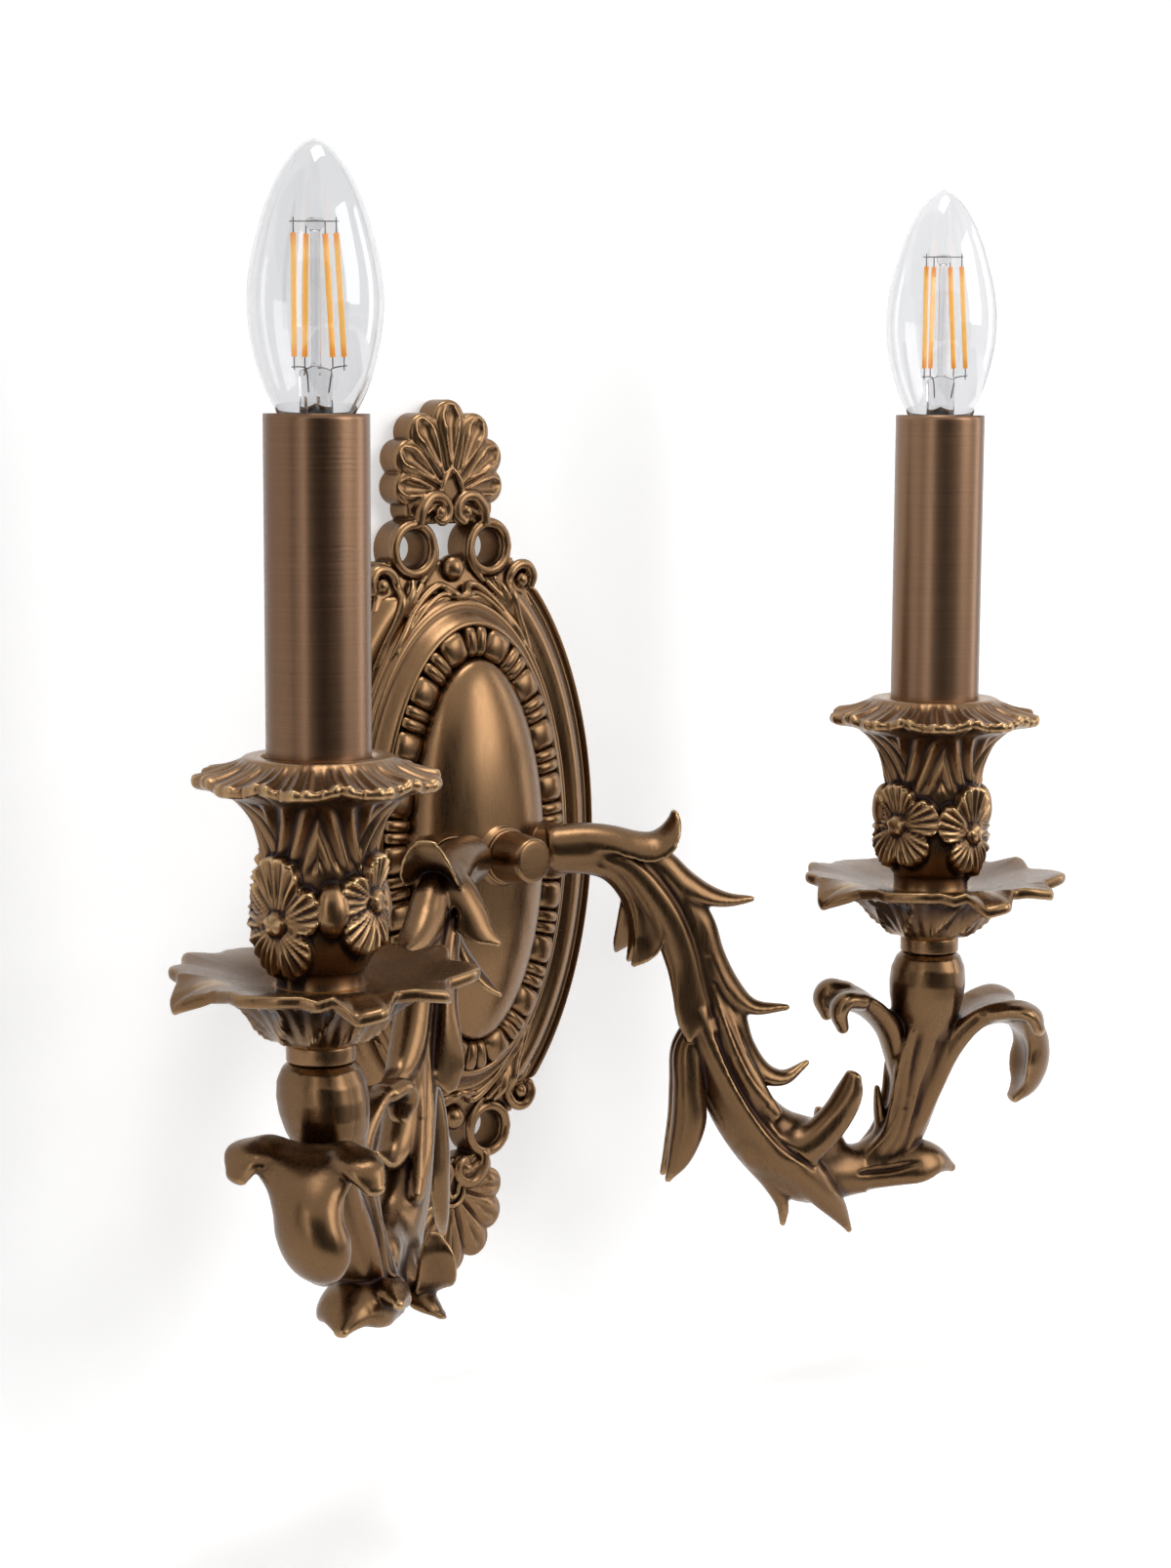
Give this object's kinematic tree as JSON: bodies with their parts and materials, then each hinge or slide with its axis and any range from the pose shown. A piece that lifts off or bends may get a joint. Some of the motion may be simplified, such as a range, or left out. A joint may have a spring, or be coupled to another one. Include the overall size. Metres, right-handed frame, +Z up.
{
  "type": "wall sconce",
  "caption": "Cast wall sconce with an oval backplate, curled leafy arms, drip pans, flowered candle cups, plain candle sleeves and clear candle bulbs.",
  "frame": {"origin": "on the wall, in the middle between the wall bracket's two slots, behind the cap nut", "axes": "+Z up, +Y into the wall, the sconce stands out along -Y, +X to the right as seen from the room"},
  "size_m": [0.3356, 0.1437, 0.343],
  "materials": {
    "antique_brass": "antique burnished brass, dark in the recesses, brushed lighter on the edges",
    "sleeve_brass": "antique brass brushed round the tube",
    "plain_brass": "plain bright brass",
    "zinc_steel": "zinc plated",
    "white_plastic": "matt moulded",
    "black_plastic": "matt moulded",
    "lead_cover": "smooth sleeving",
    "cap_metal": "bright nickel look",
    "black_glass": "glossy",
    "clear_glass": "clear polished",
    "filament": "yellow phosphor coating",
    "wire": "bare wire"
  },
  "bodies": {
    "fixture": {"arm_left": "antique_brass", "arm_nipple_left": "zinc_steel", "arm_nipple_right": "zinc_steel", "arm_nut_left": "zinc_steel", "arm_nut_right": "zinc_steel", "arm_right": "antique_brass", "backplate": "antique_brass", "candle_cup_left": "antique_brass", "candle_cup_right": "antique_brass", "candle_nipple_left": "zinc_steel", "candle_nipple_right": "zinc_steel", "centre_stud": "zinc_steel", "collar_left": "antique_brass", "collar_right": "antique_brass", "cup_nut_left": "zinc_steel", "cup_nut_right": "zinc_steel", "drip_pan_left": "antique_brass", "drip_pan_right": "antique_brass", "earth_screw": "plain_brass", "holder_contact_left": "plain_brass", "holder_contact_right": "plain_brass", "holder_shell_left": "plain_brass", "holder_shell_right": "plain_brass", "lampholder_left": "black_plastic", "lampholder_right": "black_plastic", "leads_left": "lead_cover", "leads_right": "lead_cover", "neck_ring_left": "antique_brass", "neck_ring_right": "antique_brass", "stud_nut": "zinc_steel", "terminal_block": "white_plastic", "terminal_screws": "zinc_steel", "wall_bracket": "zinc_steel"},
    "bulb_left_cap": {"bulb_cap_left": "cap_metal", "bulb_contact_left": "cap_metal", "bulb_insulator_left": "black_glass"},
    "bulb_left_glass": {"bulb_glass_left": "clear_glass", "bulb_stem_left": "clear_glass", "filaments_left": "filament", "bulb_wires_left": "wire"},
    "sleeve_left": {"candle_sleeve_left": "sleeve_brass"},
    "bulb_right_cap": {"bulb_cap_right": "cap_metal", "bulb_contact_right": "cap_metal", "bulb_insulator_right": "black_glass"},
    "bulb_right_glass": {"bulb_glass_right": "clear_glass", "bulb_stem_right": "clear_glass", "filaments_right": "filament", "bulb_wires_right": "wire"},
    "sleeve_right": {"candle_sleeve_right": "sleeve_brass"},
    "cap_nut_washer": {"finial_washer": "antique_brass"},
    "cap_nut": {"finial_nut": "antique_brass"}
  },
  "joints": [
    {"name": "bulb_left_rise", "type": "slide", "parent": "fixture", "child": "bulb_left_cap", "axis": [0, 0, 1], "range_m": [0, 0.0226]},
    {"name": "bulb_left_turn", "type": "hinge", "parent": "bulb_left_cap", "child": "bulb_left_glass", "pos_m": [-0.12, -0.1026, 0.16], "axis": [0, 0, 1], "range_deg": [0, 2880]},
    {"name": "sleeve_left_turn", "type": "hinge", "parent": "fixture", "child": "sleeve_left", "pos_m": [-0.12, -0.1026, 0.09], "axis": [0, 0, 1], "continuous": true},
    {"name": "bulb_right_rise", "type": "slide", "parent": "fixture", "child": "bulb_right_cap", "axis": [0, 0, 1], "range_m": [0, 0.0226]},
    {"name": "bulb_right_turn", "type": "hinge", "parent": "bulb_right_cap", "child": "bulb_right_glass", "pos_m": [0.12, -0.1026, 0.16], "axis": [0, 0, 1], "range_deg": [0, 2880]},
    {"name": "sleeve_right_turn", "type": "hinge", "parent": "fixture", "child": "sleeve_right", "pos_m": [0.12, -0.1026, 0.09], "axis": [0, 0, 1], "continuous": true},
    {"name": "cap_nut_travel", "type": "slide", "parent": "fixture", "child": "cap_nut_washer", "axis": [0, -1, 0], "range_m": [0, 0.0081]},
    {"name": "cap_nut_turn", "type": "hinge", "parent": "cap_nut_washer", "child": "cap_nut", "pos_m": [0, -0.044, 0], "axis": [0, -1, 0], "range_deg": [0, 2880]}
  ],
  "couplings": [
    {"joint": "bulb_left_rise", "follows": "bulb_left_turn", "m_per_rad": 0.00044913},
    {"joint": "bulb_right_rise", "follows": "bulb_right_turn", "m_per_rad": 0.00044913},
    {"joint": "cap_nut_travel", "follows": "cap_nut_turn", "m_per_rad": 0.00015915}
  ]
}
